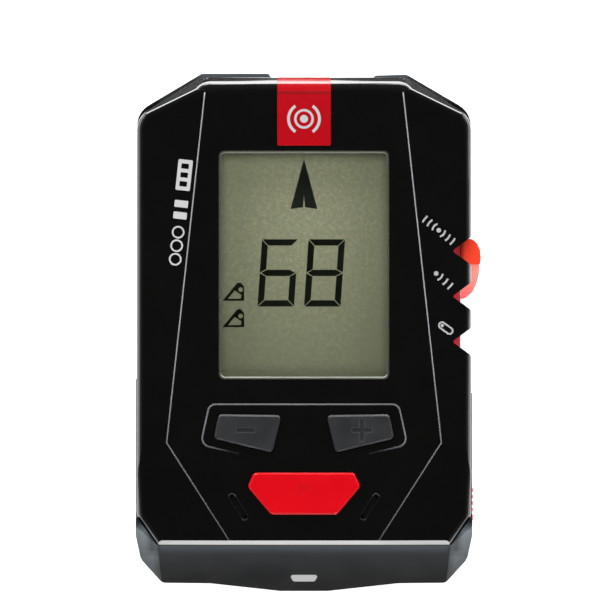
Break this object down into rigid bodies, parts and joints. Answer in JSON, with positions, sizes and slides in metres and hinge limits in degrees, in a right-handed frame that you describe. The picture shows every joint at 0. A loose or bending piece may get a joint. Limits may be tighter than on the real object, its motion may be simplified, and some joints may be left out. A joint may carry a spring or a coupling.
{
  "type": "avalanche transceiver",
  "caption": "Hand-held avalanche search and transmit beacon with a display, sliding mode switch, press keys, lanyard slot and hinged battery door.",
  "frame": {"origin": "on the flat back face, on the axis of symmetry, level with the middle of the body", "axes": "+Z out of the display, +Y towards the top end, +X to the mode slider"},
  "size_m": [0.0738, 0.111, 0.0225],
  "materials": {
    "shell_black": "gloss, finely polished",
    "shell_grey": "fine spark texture",
    "seal_rubber": "matte",
    "steel": "plated",
    "nickel": "nickel plate",
    "window_clear": "polished",
    "lcd": "satin polariser",
    "light_guide": "satin",
    "white_plastic": "matte",
    "elastomer": "banded",
    "badge_red": "gloss",
    "track_red": "satin",
    "mesh_black": "woven",
    "slider_frame": "satin",
    "slider_red": "gloss",
    "slider_clear": "clear tinted",
    "key_grey": "satin",
    "key_red": "satin",
    "silicone": "matte",
    "board_green": "solder mask",
    "chip_black": "moulded",
    "can_metal": "tinned",
    "chip_ceramic": "matte",
    "ferrite": "sintered",
    "copper": "enamelled wire",
    "cell_wrap": "gloss sleeve",
    "foam": "foam",
    "latch_red": "gloss"
  },
  "bodies": {
    "case": {"front_shell": "shell_black", "rear_shell": "shell_grey", "shell_seal": "seal_rubber", "case_screws": "steel", "display_window": "window_clear", "lcd_panel": "lcd", "lcd_backlight": "light_guide", "lcd_frame": "white_plastic", "lcd_connector_strip": "elastomer", "badge": "badge_red", "track_strip": "track_red", "sound_membranes": "mesh_black", "detent_ball": "steel", "detent_spring": "steel", "hall_sensors": "chip_black", "minus_dome": "silicone", "plus_dome": "silicone", "main_dome": "silicone", "keypad_mat": "silicone", "circuit_board": "board_green", "microcontroller": "chip_black", "radio_module": "can_metal", "smd_parts": "chip_ceramic", "buzzer": "chip_black", "antenna_y_core": "ferrite", "antenna_y_coil": "copper", "antenna_x_core": "ferrite", "antenna_x_coil": "copper", "antenna_z_core": "ferrite", "antenna_z_coil": "copper", "antenna_clips": "white_plastic", "battery_1": "cell_wrap", "battery_2": "cell_wrap", "battery_3": "cell_wrap", "battery_springs": "steel", "battery_contacts": "nickel", "door_hinge_pin": "steel"},
    "mode_slider": {"slider_carriage": "slider_frame", "slider_grip": "slider_red", "slider_tail": "slider_clear", "slider_magnet": "nickel"},
    "minus_button": {"minus_key": "key_grey"},
    "plus_button": {"plus_key": "key_grey"},
    "main_button": {"main_key": "key_red"},
    "door": {"battery_door": "shell_grey", "door_foam": "foam"},
    "latch": {"door_latch": "latch_red"}
  },
  "joints": [
    {"name": "mode_slide", "type": "slide", "parent": "case", "child": "mode_slider", "axis": [0, 1, 0], "range_m": [-0.0194, 0]},
    {"name": "minus_press", "type": "slide", "parent": "case", "child": "minus_button", "axis": [0, 0, 1], "range_m": [-0.0007, 0], "stiffness_N_per_m": 1500, "springref_m": 0.0002, "deforming": ["minus_dome"]},
    {"name": "plus_press", "type": "slide", "parent": "case", "child": "plus_button", "axis": [0, 0, 1], "range_m": [-0.0007, 0], "stiffness_N_per_m": 1500, "springref_m": 0.0002, "deforming": ["plus_dome"]},
    {"name": "main_press", "type": "slide", "parent": "case", "child": "main_button", "axis": [0, 0, 1], "range_m": [-0.0007, 0], "stiffness_N_per_m": 1500, "springref_m": 0.0002, "deforming": ["main_dome"]},
    {"name": "door_hinge", "type": "hinge", "parent": "case", "child": "door", "pos_m": [-0.027, -0.02575, 0.0015], "axis": [0, 1, 0], "range_deg": [0, 90]},
    {"name": "latch_slide", "type": "slide", "parent": "case", "child": "latch", "axis": [0, 1, 0], "range_m": [0, 0.003]}
  ]
}
